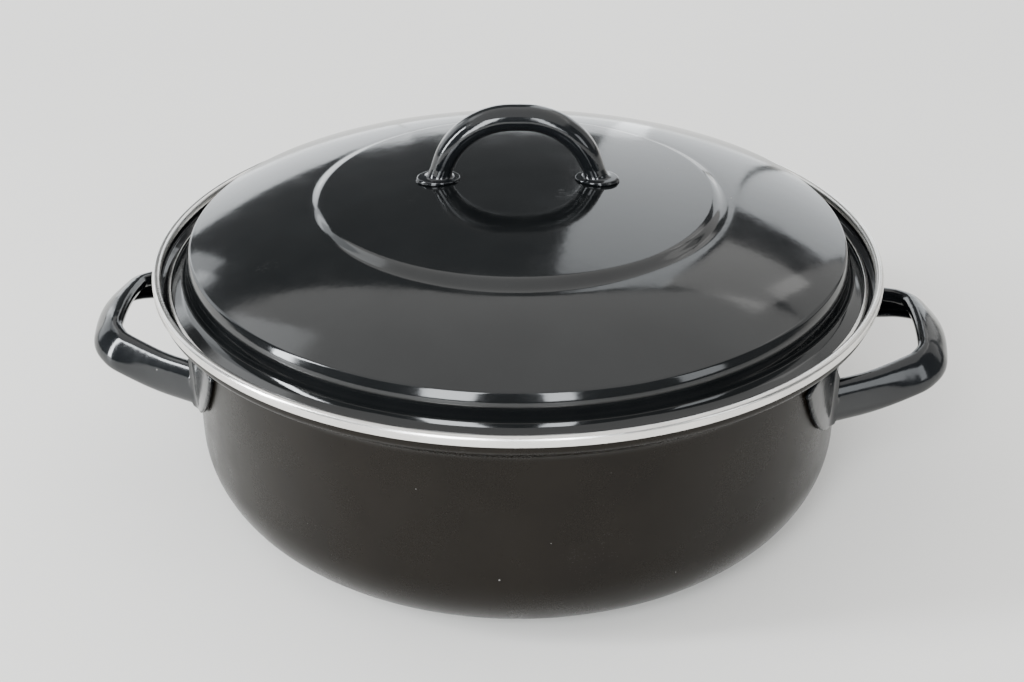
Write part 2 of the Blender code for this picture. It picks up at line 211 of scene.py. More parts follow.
# Camera
CAMERA_PLACE = Vector((30.4, -561.7, 368.6)) * MM
CAMERA_AIM = Vector((2.2 * MM, -77.2 * MM, RIM_HEIGHT))
CAMERA_ROLL = math.radians(-0.11)
CAMERA_LENS = 56.23
CAMERA_SENSOR = 36.0


# ---------------------------------------------------------------- outlines

def smoothstep(value):
    value = min(max(value, 0.0), 1.0)
    return value * value * (3.0 - 2.0 * value)


def blend(start, end, share):
    return start + (end - start) * share


def rounded_outline(corners):
    """Points along straight runs, with each corner (x, y, radius) rounded."""
    points = [Vector(corners[0][:2])]
    for before, corner, after in zip(corners, corners[1:], corners[2:]):
        vertex = Vector(corner[:2])
        back = (Vector(before[:2]) - vertex).normalized()
        ahead = (Vector(after[:2]) - vertex).normalized()
        inside = math.acos(max(-1.0, min(1.0, back.dot(ahead))))
        turn = math.pi - inside
        radius = corner[2]
        if radius <= 0.0 or turn < 0.01:
            points.append(vertex)
            continue
        centre = vertex + (back + ahead).normalized() * (radius / math.sin(inside / 2.0))
        first = vertex + back * (radius / math.tan(inside / 2.0)) - centre
        way = 1.0 if back.x * ahead.y - back.y * ahead.x < 0.0 else -1.0
        count = math.ceil(max(turn / ARC_ANGLE, turn * radius / WALL_STEP, 2.0))
        for step in range(count + 1):
            points.append(centre + Matrix.Rotation(way * turn * step / count, 2) @ first)
    points.append(Vector(corners[-1][:2]))
    return points


def fill_runs(points, longest):
    """The same outline, with no run between points longer than that."""
    filled = [points[0]]
    for start, end in zip(points, points[1:]):
        count = max(1, math.ceil((end - start).length / longest))
        filled += [start.lerp(end, (step + 1) / count) for step in range(count)]
    return filled


def beside(points, distance):
    """The outline moved sideways, to the left of its direction."""
    moved = []
    for index, point in enumerate(points):
        before = points[max(index - 1, 0)]
        after = points[min(index + 1, len(points) - 1)]
        back = (point - before).normalized() if index else (after - point).normalized()
        ahead = (after - point).normalized() if after != point else back
        along = (back + ahead).normalized()
        stretch = 1.0 / max(math.sqrt((1.0 + back.dot(ahead)) / 2.0), 0.4)
        moved.append(point + Vector((-along.y, along.x)) * distance * stretch)
    return moved


def pot_outline():
    """Outside of the pot: edge, flare, upright wall, round corner, flat base."""
    edge = RIM_RADIUS - EDGE_INSET
    corners = [
        (edge, RIM_HEIGHT - EDGE_DROP, 0.0),
        (edge, RIM_HEIGHT - FLARE_TOP, FLARE_TOP_BEND),
        (WALL_RADIUS, RIM_HEIGHT - FLARE_DEPTH, FLARE_FOOT_BEND),
        (WALL_FOOT_RADIUS, 0.0, BASE_CORNER),
        (BASE_FLAT, 0.0, 0.0)]
    wall = fill_runs(rounded_outline(corners), WALL_STEP)
    on_base = next(i for i, point in enumerate(wall) if point.y < NEARLY_ZERO)
    return wall[:on_base + 1] + fill_runs([wall[on_base], Vector((0.0, 0.0))], BASE_STEP)[1:]


def pot_band_outline():
    """A strip rolled over the pot's edge: crown on top, a leg with a round end each side."""
    outer = RIM_RADIUS
    inner = RIM_RADIUS - BAND_WIDTH
    crown = BAND_WIDTH / 2.0 - CROWN_SLACK
    leg_end = BAND_SHEET / 2.0 - ARC_SLACK
    low = RIM_HEIGHT - BAND_DEPTH
    low_inside = low + BAND_INNER_RISE
    under = crown - BAND_SHEET
    loop = [
        (inner + BAND_SHEET / 2.0, low_inside, 0.0),
        (inner, low_inside, leg_end),
        (inner, RIM_HEIGHT, crown),
        (outer, RIM_HEIGHT, crown),
        (outer, low, leg_end),
        (outer - BAND_SHEET, low, leg_end),
        (outer - BAND_SHEET, RIM_HEIGHT - BAND_SHEET, under),
        (inner + BAND_SHEET, RIM_HEIGHT - BAND_SHEET, under),
        (inner + BAND_SHEET, low_inside, leg_end),
        (inner + BAND_SHEET / 2.0, low_inside, 0.0)]
    return fill_runs(rounded_outline(loop), STRIP_STEP)[:-1]


def plateau_height(radius):
    """Height of the plateau, which is a little domed, at that radius."""
    drop = PLATEAU_CURVE - math.sqrt(PLATEAU_CURVE ** 2 - radius ** 2)
    return LID_TOP - drop


def lid_outline():
    """Top of the lid from the middle out: plateau, step, dome, shoulder, crease, flange."""
    reach = PLATEAU_RADIUS - STEP_LEAD
    plateau = [Vector((radius, plateau_height(radius)))
               for radius in (reach * step / LID_PARTS for step in range(LID_PARTS + 1))]
    foot = RIM_HEIGHT + PLATEAU_FOOT_RISE
    step = rounded_outline([
        (*plateau[-1], 0.0),
        (PLATEAU_RADIUS, plateau_height(PLATEAU_RADIUS), STEP_ROUNDING),
        (PLATEAU_FOOT_RADIUS, foot, STEP_ROUNDING),
        (PLATEAU_FOOT_RADIUS + STEP_RUN_OUT[0], foot + STEP_RUN_OUT[1], 0.0)])
    dome_end = Vector((
        DOME_EDGE_RADIUS - DOME_EDGE_RUN * math.cos(DOME_SLOPE),
        RIM_HEIGHT + DOME_EDGE_RISE + DOME_EDGE_RUN * math.sin(DOME_SLOPE)))
    along = dome_end - step[-1]
    side = Vector((-along.y, along.x)).normalized()
    dome = [step[-1] + along * share + side * DOME_BULGE * 4.0 * share * (1.0 - share)
            for share in (i / LID_PARTS for i in range(1, LID_PARTS + 1))]
    edge = rounded_outline([
        (*dome_end, 0.0),
        (DOME_EDGE_RADIUS, RIM_HEIGHT + DOME_EDGE_RISE, DOME_EDGE_ROUNDING),
        (SHOULDER_RADIUS, RIM_HEIGHT + SHOULDER_RISE, SHOULDER_ROUNDING),
        (CREASE_RADIUS, RIM_HEIGHT + CREASE_RISE, CREASE_ROUNDING),
        (FLANGE_RADIUS, RIM_HEIGHT + FLANGE_RISE, 0.0)])
    return plateau + fill_runs(step, STRIP_STEP)[1:] + dome + fill_runs(edge, EDGE_STEP)[1:]


def lid_band_outline():
    """A thin strip folded over the flange's edge, open towards the middle."""
    edge = Vector((FLANGE_RADIUS, RIM_HEIGHT + FLANGE_RISE))
    crease = Vector((CREASE_RADIUS, RIM_HEIGHT + CREASE_RISE))
    outward = (edge - crease).normalized()
    upward = Vector((-outward.y, outward.x))
    leg = LID_BAND_LEG
    sheet = LID_BAND_SHEET
    top = FIT_GAP + sheet
    bottom = -LID_SHEET - FIT_GAP - sheet
    fold = LID_BAND_FOLD
    tip = sheet / 2.0 - ARC_SLACK
    loop = fill_runs(rounded_outline([
        (-leg, top - sheet / 2.0, 0.0),
        (-leg, top, tip),
        (leg, top, fold),
        (leg, bottom, fold),
        (-leg, bottom, tip),
        (-leg, bottom + sheet, tip),
        (leg - sheet, bottom + sheet, fold - sheet),
        (leg - sheet, top - sheet, fold - sheet),
        (-leg, top - sheet, tip),
        (-leg, top - sheet / 2.0, 0.0)]), EDGE_STEP)[:-1]
    return [edge + outward * point.x + upward * point.y for point in loop]


# ---------------------------------------------------------------- meshes

def new_piece(name, mesh):
    piece = bpy.data.objects.new(name, mesh)
    bpy.context.scene.collection.objects.link(piece)
    return piece


def finish_mesh(cage, name):
    """A shaded-smooth mesh from a bmesh, with its faces pointing out."""
    bmesh.ops.remove_doubles(cage, verts=cage.verts, dist=SAME_POINT)
    bmesh.ops.recalc_face_normals(cage, faces=cage.faces)
    mesh = bpy.data.meshes.new(name)
    cage.to_mesh(mesh)
    cage.free()
    mesh.shade_smooth()
    return mesh


def turned(name, loop, steps=TURN_STEPS):
    """A closed outline turned round Z. Points on the axis become one vertex."""
    cage = bmesh.new()
    columns = []
    on_axis = [cage.verts.new((0.0, 0.0, point.y)) if point.x < NEARLY_ZERO else None
               for point in loop]
    for step in range(steps):
        angle = 2.0 * math.pi * step / steps
        columns.append([
            pole or cage.verts.new((point.x * math.cos(angle),
                                    point.x * math.sin(angle), point.y))
            for point, pole in zip(loop, on_axis)])
    count = len(loop)
    for column, following in zip(columns, columns[1:] + columns[:1]):
        for i in range(count):
            j = (i + 1) % count
            corners = [column[i], following[i], following[j], column[j]]
            unique = list(dict.fromkeys(corners))
            if len(unique) > 2:
                cage.faces.new(unique)
    return new_piece(name, finish_mesh(cage, name))


def skin(rings, name):
    """A closed skin over closed rings of points, with one face over each end."""
    cage = bmesh.new()
    rows = [[cage.verts.new(point) for point in ring] for ring in rings]
    count = len(rings[0])
    for row, following in zip(rows, rows[1:]):
        for i in range(count):
            j = (i + 1) % count
            cage.faces.new((row[i], row[j], following[j], following[i]))
    cage.faces.new(list(reversed(rows[0])))
    cage.faces.new(rows[-1])
    return finish_mesh(cage, name)


def unevenness(piece, height, size, seed):
    """Sinks the surface by a slow wave, as hand-dipped enamel and pressed sheet have."""
    mesh = piece.data
    shift = Vector((seed * 3.1, seed * 1.7, seed * 2.3))
    moves = [vertex.normal * ((noise.noise(vertex.co / size + shift) - 1.0) / 2.0 * height)
             for vertex in mesh.vertices]
    for vertex, move in zip(mesh.vertices, moves):
        vertex.co += move
    mesh.update()


def apply_modifiers(piece):
    """Turns what the modifiers make of the piece into its own mesh."""
    graph = bpy.context.evaluated_depsgraph_get()
    made = bpy.data.meshes.new_from_object(piece.evaluated_get(graph))
    piece.modifiers.clear()
    old = piece.data
    piece.data = made
    bpy.data.meshes.remove(old)
    piece.data.shade_smooth()


# ---------------------------------------------------------------- pot and lid

def build_pot():
    outside = pot_outline()
    inside = beside(outside, -POT_SHEET)
    inside[-1].x = 0.0
    pot = turned("enamelled_pot", outside + list(reversed(inside)))
    unevenness(pot, height=0.02 * MM, size=34.0 * MM, seed=1.0)
    return pot


def build_lid():
    top = lid_outline()
    under = beside(top, -LID_SHEET)
    under[0].x = 0.0
    lid = turned("enamelled_lid", top + list(reversed(under)))
    unevenness(lid, height=0.05 * MM, size=34.0 * MM, seed=2.0)
    return lid


# ---------------------------------------------------------------- bow handle

def bow_route():
    """Middle line of the bow above its collars, from one side to the other."""
    foot_rise = plateau_height(BOW_SPAN / 2.0)
    top = RIM_HEIGHT + BOW_RISE
    lean = math.tan(BOW_LEAN)
    height = top - foot_rise
    free = Vector((BOW_SPAN / 2.0 - lean * BOW_UPRIGHT, foot_rise + BOW_UPRIGHT))
    corner = Vector((BOW_SPAN / 2.0 - lean * height, top))
    half = rounded_outline([(*free, 0.0), (*corner, BOW_BEND), (0.0, top, 0.0)])
    side = fill_runs(half, BOW_STEP)
    return side[:-1] + [Vector((-point.x, point.y)) for point in reversed(side)]


def bar_angles():
    """The angles of the points round one section of the bar."""
    return [2.0 * math.pi * step / BAR_SIDES for step in range(BAR_SIDES)]


def collar_rings(side):
    """Level sections through one welded collar and the foot of the bar, upward."""
    foot_rise = plateau_height(BOW_SPAN / 2.0)
    profile = fill_runs(rounded_outline([
        (COLLAR_REACH, -COLLAR_BURIED, 0.0),
        (COLLAR_REACH, COLLAR_HEIGHT, COLLAR_EDGE),
        (COLLAR_WAIST, COLLAR_HEIGHT + COLLAR_SLOPE, COLLAR_ROOT),
        (0.0, BOW_UPRIGHT - COLLAR_STOP, 0.0)]), COLLAR_STEP)
    rings = []
    for reach, height in profile:
        middle = side * (BOW_SPAN / 2.0 - math.tan(BOW_LEAN) * height)
        along = side * (BOW_FOOT_BAR / 2.0 / math.cos(BOW_LEAN) + reach)
        across = BOW_FOOT_BAR / 2.0 + reach * COLLAR_OVAL
        rings.append([Vector((middle + along * math.cos(angle), across * math.sin(angle),
                              foot_rise + height)) for angle in bar_angles()])
    return rings


def under_bow_outline():
    """The lid's middle, from the rim's level up to the fitting gap above the plateau."""
    steps = 24
    outline = [Vector((0.0, RIM_HEIGHT)), Vector((UNDER_BOW_REACH, RIM_HEIGHT))]
    for radius in (UNDER_BOW_REACH * (1.0 - step / steps) for step in range(steps + 1)):
        outline.append(Vector((radius, plateau_height(radius) + FIT_GAP)))
    return outline


def build_bow():
    """The bow: round at the feet with a welded collar, wider and flatter on top."""
    route = bow_route()
    foot_rise = plateau_height(BOW_SPAN / 2.0)
    top = RIM_HEIGHT + BOW_RISE
    rings = collar_rings(1.0)
    for index, point in enumerate(route):
        before = route[max(index - 1, 0)]
        after = route[min(index + 1, len(route) - 1)]
        along = (after - before).normalized()
        normal = Vector((along.y, -along.x))
        share = smoothstep(BOW_WIDENING * (point.y - foot_rise) / (top - foot_rise))
        thickness = blend(BOW_FOOT_BAR, BOW_TOP_THICKNESS, share)
        width = blend(BOW_FOOT_BAR, BOW_TOP_WIDTH, share)
        ring = []
        for angle in bar_angles():
            offset = normal * (math.cos(angle) * thickness / 2.0)
            ring.append(Vector((point.x + offset.x, math.sin(angle) * width / 2.0,
                                point.y + offset.y)))
        rings.append(ring)
    rings += reversed(collar_rings(-1.0))
    turn = Matrix.Rotation(BOW_TURN, 3, "Z")
    bow = new_piece("lid_bow", skin([[turn @ point for point in ring] for ring in rings],
                                    "lid_bow"))
    cut_away(bow, turned("under_the_bow", under_bow_outline(), UNDER_BOW_STEPS))
    unevenness(bow, height=0.05 * MM, size=12.0 * MM, seed=5.0)
    return bow


def cut_away(piece, cutter):
    """Cuts the cutter's shape out of the piece, and deletes the cutter."""
    boolean = piece.modifiers.new("cut", "BOOLEAN")
    boolean.operation = "DIFFERENCE"
    boolean.solver = "EXACT"
    boolean.object = cutter
    apply_modifiers(piece)
    mesh = cutter.data
    bpy.data.objects.remove(cutter)
    bpy.data.meshes.remove(mesh)


# ---------------------------------------------------------------- side handles

def superellipse(angle, width, height):
    across = math.copysign(abs(math.cos(angle)) ** (2.0 / SECTION_POWER), math.cos(angle))
    up = math.copysign(abs(math.sin(angle)) ** (2.0 / SECTION_POWER), math.sin(angle))
    return Vector((width / 2.0 * across, height / 2.0 * up))


def channel_section(width, height):
    """A closed loop round the pressed channel: outside, round lip, inside, round lip."""
    angles = [CHANNEL_WRAP * (1.0 - 2.0 * step / CHANNEL_SIDES)
              for step in range(CHANNEL_SIDES + 1)]
    outside = [superellipse(angle, width, height) for angle in angles]
    thinner = 2.0 * HANDLE_SHEET
    inside = [superellipse(angle, width - thinner, height - thinner)
              for angle in reversed(angles)]

    def lip(start, end, before):
        middle = (start + end) / 2.0
        radius = start - middle
        ahead = (start - before).normalized() * radius.length
        return [middle + radius * math.cos(turn) + ahead * math.sin(turn)
                for turn in (math.pi * step / 5.0 for step in range(1, 5))]

    return (outside + lip(outside[-1], inside[0], outside[-2])
            + inside + lip(inside[-1], outside[0], inside[-2]))


def side_handle_route():
    """Middle line of a whole side handle in plan, from one root to the other."""
    start = Vector(LEG_START)
    corner = Vector(GRIP_CORNER)
    outward = (corner - start).normalized()
    buried = start - outward * LEG_BURIED
    half = fill_runs(rounded_outline([
        (*buried, 0.0), (*corner, GRIP_BEND), (corner.x, 0.0, 0.0)]), HANDLE_STEP)
    for point in half:
        share = min(point.y / corner.y, 1.0)
        point.x += GRIP_CROWN * (1.0 - share * share)
    return half + [Vector((point.x, -point.y)) for point in reversed(half[:-1])]


def channel_rings():
    """Sections along the handle: upright at the roots, leaning out at the grip."""
    route = side_handle_route()
    lengths = [0.0]
    for point, following in zip(route, route[1:]):
        lengths.append(lengths[-1] + (following - point).length)
    middle = lengths[-1] / 2.0
    rings = []
    for index, point in enumerate(route):
        before = route[max(index - 1, 0)]
        after = route[min(index + 1, len(route) - 1)]
        along = (after - before).normalized()
        outward = Vector((-along.y, along.x))
        walked = min(lengths[index], lengths[-1] - lengths[index])
        share = smoothstep((walked - LEG_BURIED) / (middle - LEG_BURIED))
        width = blend(ROOT_SECTION[0], GRIP_SECTION[0], share)
        height = blend(ROOT_SECTION[1], GRIP_SECTION[1], share)
        lean = blend(ROOT_LEAN, GRIP_LEAN, share)
        level = RIM_HEIGHT - blend(ROOT_DROP, GRIP_DROP, share)
        ring = []
        for across, up in channel_section(width, height):
            shift = across * math.cos(lean) - up * math.sin(lean)
            rise = across * math.sin(lean) + up * math.cos(lean)
            plan = point + outward * shift
            ring.append(Vector((plan.x, plan.y, level + rise)))
        rings.append(ring)
    return rings


def foot_drops(angle):
    """Top and bottom of a foot, below the rim: it widens, then tapers from below."""
    widening = smoothstep((angle - FOOT_START) / (FOOT_FULL - FOOT_START))
    top = blend(FOOT_BOTTOM_DROP - ROOT_SECTION[1], FOOT_TOP_DROP, widening)
    past = min(max(0.0, (angle - FOOT_FULL) / (FOOT_END - FOOT_FULL)), 1.0)
    top += FOOT_TIP_DROP * past ** FOOT_TIP_FALL
    full = FOOT_BOTTOM_DROP - FOOT_TOP_DROP
    bottom = FOOT_TOP_DROP + full * (1.0 - past ** FOOT_TAPER) ** (1.0 / FOOT_TAPER)
    return top, max(bottom, top + FOOT_TIP_HEIGHT)


def foot_plan():
    """The foot's outer face in plan: off the strap, round a bend, along the wall."""
    start = Vector(LEG_START)
    ahead = (Vector(GRIP_CORNER) - start).normalized()
    face = start + Vector((-ahead.y, ahead.x)) * ROOT_SECTION[0] / 2.0
    radius = WALL_RADIUS + FIT_GAP + FOOT_SHEET
    middle = face.dot(ahead)
    back = middle - math.sqrt(middle ** 2 - face.length_squared + radius ** 2)
    corner = face - ahead * back
    along = Vector((-corner.y, corner.x)).normalized()
    bend = rounded_outline([(*face, 0.0), (*corner, FOOT_BEND),
                            (*(corner + along * 20.0 * MM), 0.0)])[1:-1]
    first = math.atan2(bend[-1].y, bend[-1].x)
    angles = [blend(first, FOOT_END, (step + 1) / FOOT_COLUMNS)
              for step in range(FOOT_COLUMNS)]
    return bend + [Vector((math.cos(angle), math.sin(angle))) * radius for angle in angles]


def foot_rings(side):
    """Closed sections of one welded foot, a plate that bends onto the wall."""
    inner = WALL_RADIUS + FIT_GAP
    rings = []
    for place in foot_plan():
        angle = math.atan2(place.y, place.x)
        top, bottom = foot_drops(angle)
        under = Vector((math.cos(angle), math.sin(angle))) * inner
        ring = []
        for spot, first, last in ((under, bottom, top), (place, top, bottom)):
            for row in range(FOOT_ROWS + 1):
                drop = blend(first, last, row / FOOT_ROWS)
                ring.append(Vector((spot.x, side * spot.y, RIM_HEIGHT - drop)))
        rings.append(ring)
    return rings


def keep_off_wall(mesh):
    """Moves what smoothing let towards the wall back out to most of the fitting gap."""
    least = WALL_RADIUS + FIT_GAP * 0.8
    for vertex in mesh.vertices:
        radius = math.hypot(vertex.co.x, vertex.co.y)
        if radius < least:
            vertex.co.x *= least / radius
            vertex.co.y *= least / radius


def build_side_handle():
    """A pressed channel and its two welded feet, under one skin of enamel."""
    handle = new_piece("right_side_loop", skin(channel_rings(), "channel"))
    reach = WALL_RADIUS + FIT_GAP
    low = RIM_HEIGHT - WALL_CUT_DEPTH
    wall = [Vector((reach, RIM_HEIGHT)), Vector((reach, low)),
            Vector((0.0, low)), Vector((0.0, RIM_HEIGHT))]
    cut_away(handle, turned("inside_the_wall", wall, WALL_CUT_STEPS))
    joined = bmesh.new()
    joined.from_mesh(handle.data)
    for side in (1.0, -1.0):
        foot = skin(foot_rings(side), "foot")
        joined.from_mesh(foot)
        bpy.data.meshes.remove(foot)
    joined.to_mesh(handle.data)
    joined.free()
    remesh = handle.modifiers.new("one_skin", "REMESH")
    remesh.mode = "VOXEL"
    remesh.voxel_size = ENAMEL_VOXEL
    coat = handle.modifiers.new("enamel_coat", "DISPLACE")
    coat.mid_level = 0.0
    coat.strength = ENAMEL_COAT
    rounding = handle.modifiers.new("enamel_rounding", "SMOOTH")
    rounding.factor = 0.5
    rounding.iterations = ENAMEL_ROUNDING
    thinning = handle.modifiers.new("fewer_faces", "DECIMATE")
    thinning.ratio = ENAMEL_FACES_KEPT
    apply_modifiers(handle)
    keep_off_wall(handle.data)
    unevenness(handle, height=0.06 * MM, size=13.0 * MM, seed=8.0)
    return handle


def opposite(piece, name):
    """The same piece on the other side of the pot."""
    mesh = piece.data.copy()
    mesh.transform(Matrix.Rotation(math.pi, 4, "Z"))
    return new_piece(name, mesh)


# ---------------------------------------------------------------- materials

class Nodes:
    """Short calls for adding nodes to one material."""

    def __init__(self, name):
        self.material = bpy.data.materials.new(name)
        self.material.use_nodes = True
        self.tree = self.material.node_tree
        self.shader = self.tree.nodes["Principled BSDF"]
        self.place = self.add("ShaderNodeTexCoord").outputs["Object"]

    def add(self, kind, **settings):
        node = self.tree.nodes.new(kind)
        for name, value in settings.items():
            setattr(node, name, value)
        return node

    def feed(self, socket, value):
        if isinstance(value, bpy.types.NodeSocket):
            self.tree.links.new(value, socket)
        else:
            socket.default_value = value

    def maths(self, operation, first, second=0.0):
        node = self.add("ShaderNodeMath", operation=operation)
        for socket, value in zip(node.inputs, (first, second)):
            self.feed(socket, value)
        return node.outputs[0]

    def ramp(self, value, low, high, start=0.0, end=1.0):
        """The value mapped from low..high to start..end, and kept in that range."""
        node = self.add("ShaderNodeMapRange")
        for name, amount in (("Value", value), ("From Min", low), ("From Max", high),
                             ("To Min", start), ("To Max", end)):
            self.feed(node.inputs[name], amount)
        return node.outputs["Result"]

    def scaled(self, scale, turn):
        node = self.add("ShaderNodeMapping")
        self.feed(node.inputs["Vector"], self.place)
        node.inputs["Scale"].default_value = scale
        node.inputs["Rotation"].default_value = turn
        return node.outputs["Vector"]

    def noise(self, size, detail, place=None):
        """Noise whose lumps are about that many metres across."""
        node = self.add("ShaderNodeTexNoise")
        self.feed(node.inputs["Vector"], place or self.place)
        node.inputs["Scale"].default_value = 1.0 / size
        node.inputs["Detail"].default_value = detail
        return node.outputs["Fac"]

    def specks(self, spacing, radius, share):
        """1 in small round specks: one cell in so many holds one."""
        cells = self.add("ShaderNodeTexVoronoi")
        self.feed(cells.inputs["Vector"], self.place)
        cells.inputs["Scale"].default_value = 1.0 / spacing
        apart = self.add("ShaderNodeSeparateColor")
        self.feed(apart.inputs["Color"], cells.outputs["Color"])
        chosen = self.maths("LESS_THAN", apart.outputs["Red"], share)
        limit = self.maths("MULTIPLY", apart.outputs["Green"], radius / spacing)
        inside = self.maths("LESS_THAN", cells.outputs["Distance"], limit)
        return self.maths("MULTIPLY", chosen, inside)

    def scratches(self, turn, width, length, patch_cut):
        """1 along short hairlines that run one way, in a few patches only."""
        stretched = self.scaled((1.0 / length, 1.0 / width, 1.0 / width), turn)
        lines = self.noise(1.0, 0.0, stretched)
        hair = self.ramp(lines, HAIRLINE_CUT, HAIRLINE_CUT + 0.02)
        where = self.ramp(self.noise(SCRATCHED_PATCH, 1.0), patch_cut, patch_cut + 0.06)
        return self.maths("MULTIPLY", hair, where)

    def mix(self, share, first, second):
        node = self.add("ShaderNodeMix", data_type="RGBA")
        self.feed(node.inputs["Factor"], share)
        self.feed(node.inputs[6], first)
        self.feed(node.inputs[7], second)
        return node.outputs[2]

    def bump(self, height, distance, strength, under=None):
        node = self.add("ShaderNodeBump")
        node.inputs["Strength"].default_value = strength
        node.inputs["Distance"].default_value = distance
        self.feed(node.inputs["Height"], height)
        if under is not None:
            self.feed(node.inputs["Normal"], under)
        return node.outputs["Normal"]


def enamel(name, colours, roughness, smudge, peel, specks=0.012, scratches=0.70):
    """Vitreous enamel: deep colour, orange peel, smudges, dust and hairlines. Smudge is
    added to the roughness in patches, peel is the height of the orange peel, specks is
    the share of cells with dust, and a higher scratches leaves fewer scratched patches."""
    n = Nodes(name)
    cloud = n.noise(26.0 * MM, 3.0)
    dark, light = ((*colour, 1.0) for colour in colours)
    base = n.mix(n.ramp(cloud, 0.3, 0.7), dark, light)
    dust = n.maths("MAXIMUM", n.specks(3.4 * MM, 0.34 * MM, specks),
                   n.specks(9.0 * MM, 0.40 * MM, specks * 2.0))
    hair = n.maths("MAXIMUM",
                   n.scratches((0.4, 0.9, 0.2), 0.25 * MM, 9.0 * MM, scratches),
                   n.scratches((1.1, -0.5, 1.9), 0.22 * MM, 6.0 * MM, scratches))
    marks = n.maths("MAXIMUM", dust, n.maths("MULTIPLY", hair, 0.2))
    n.feed(n.shader.inputs["Base Color"], n.mix(marks, base, MARK_GREY))
    haze = n.ramp(n.noise(17.0 * MM, 4.0), 0.42, 0.72, 0.0, smudge)
    grain = n.ramp(n.noise(0.9 * MM, 2.0), 0.3, 0.7, -0.015, 0.015)
    rough = n.maths("ADD", n.maths("ADD", haze, grain), roughness)
    dull = n.maths("MULTIPLY", marks, 0.5)
    n.feed(n.shader.inputs["Roughness"], n.maths("MAXIMUM", rough, dull))
    skin_normal = n.bump(n.noise(4.2 * MM, 1.0), peel, 0.5)
    fine_normal = n.bump(n.noise(0.7 * MM, 2.0), peel * 0.06, 0.5, skin_normal)
    pits = n.maths("SUBTRACT", 1.0, n.maths("MULTIPLY", hair, 0.6))
    n.feed(n.shader.inputs["Normal"], n.bump(pits, 0.02 * MM, 0.6, fine_normal))
    n.shader.inputs["IOR"].default_value = 1.5
    return n.material


def steel_strip(name, roughness):
    """Stainless strip, polished round the rim: fine lines, soft wear and small dents."""
    n = Nodes(name)
    apart = n.add("ShaderNodeSeparateXYZ")
    n.feed(apart.inputs["Vector"], n.place)
    x, y, z = (apart.outputs[axis] for axis in "XYZ")
    radius = n.maths("SQRT", n.maths("ADD", n.maths("MULTIPLY", x, x),
                                     n.maths("MULTIPLY", y, y)))
    across = n.add("ShaderNodeCombineXYZ")
    n.feed(across.inputs["X"], n.maths("MULTIPLY", x, LINES_ROUND))
    n.feed(across.inputs["Y"], n.maths("MULTIPLY", y, LINES_ROUND))
    n.feed(across.inputs["Z"],
           n.maths("MULTIPLY", n.maths("ADD", radius, z), LINES_ACROSS))
    lines = n.noise(1.0, 2.0, across.outputs["Vector"])
    wear = n.noise(15.0 * MM, 3.0)
    darker = tuple(channel * WORN_STEEL for channel in STEEL)
    n.feed(n.shader.inputs["Base Color"],
           n.mix(n.ramp(wear, 0.35, 0.7), (*STEEL, 1.0), (*darker, 1.0)))
    n.shader.inputs["Metallic"].default_value = 1.0
    rough = n.maths("ADD", n.ramp(lines, 0.3, 0.7, -0.05, 0.06),
                    n.ramp(wear, 0.3, 0.7, roughness - 0.03, roughness + 0.05))
    n.feed(n.shader.inputs["Roughness"], rough)
    brushed = n.bump(lines, 0.012 * MM, 0.35)
    n.feed(n.shader.inputs["Normal"], n.bump(n.noise(7.0 * MM, 1.0), 0.05 * MM, 0.5, brushed))
    return n.material


def satin_enamel():
    """The outside of the pot: satin and less reflective than the lid, its reflections tinted
    warm as a painted reflection of a warm floor.
    """
    satin = enamel("pot_satin_enamel", SATIN_BLACK, roughness=0.27, smudge=0.08,
                   peel=0.015 * MM, specks=0.04, scratches=0.66)
    shader = satin.node_tree.nodes["Principled BSDF"]
    shader.inputs["Specular IOR Level"].default_value = 0.16
    # Warm specular tint: painted reflection, standing for a warm floor mirrored in the satin.
    shader.inputs["Specular Tint"].default_value = (1.0, 0.955, 0.91, 1.0)
    return satin


def inside_enamel():
    return enamel("pot_inside_enamel", INSIDE_BLACK, roughness=0.07, smudge=0.06,
                  peel=0.10 * MM)


def base_enamel():
    """The underside: duller and more scratched, where the pot has stood."""
    return enamel("base_enamel", WORN_BLACK, roughness=0.34, smudge=0.16,
                  peel=0.05 * MM, specks=0.08, scratches=0.5)


def lid_enamel():
    return enamel("glossy_enamel", LID_BLACK, roughness=0.085, smudge=0.05,
                  peel=0.03 * MM)


def handle_enamel():
    return enamel("handle_enamel", HANDLE_BLACK, roughness=0.11, smudge=0.07,
                  peel=0.10 * MM, specks=0.015)


def dress_pot(pot):
    """Satin outside, glossy inside, and a worn base."""
    for material in (satin_enamel(), inside_enamel(), base_enamel()):
        pot.data.materials.append(material)
    for face in pot.data.polygons:
        middle = face.center
        radial = Vector((middle.x, middle.y, 0.0))
        under = face.normal.z < -0.985 and middle.z < 0.2 * MM
        faces_middle = face.normal.dot(radial) < 0.0
        floor_inside = face.normal.z > 0.3 and radial.length < WALL_RADIUS
        if under:
            face.material_index = 2
        elif faces_middle or floor_inside:
            face.material_index = 1


# ---------------------------------------------------------------- stage

def build_floor():
    cage = bmesh.new()
    bmesh.ops.create_grid(cage, x_segments=24, y_segments=24, size=FLOOR_HALF)
    mesh = bpy.data.meshes.new("pale_floor")
    cage.to_mesh(mesh)
    cage.free()
    floor = new_piece("pale_floor", mesh)
    floor.location.z = -FLOOR_DROP
    n = Nodes("pale_floor")
    cloud = n.noise(0.35, 3.0)
    n.feed(n.shader.inputs["Base Color"], n.mix(n.ramp(cloud, 0.3, 0.7), *FLOOR_COLOURS))
    n.feed(n.shader.inputs["Roughness"], n.ramp(cloud, 0.3, 0.7, 0.55, 0.62))
    mesh.materials.append(n.material)


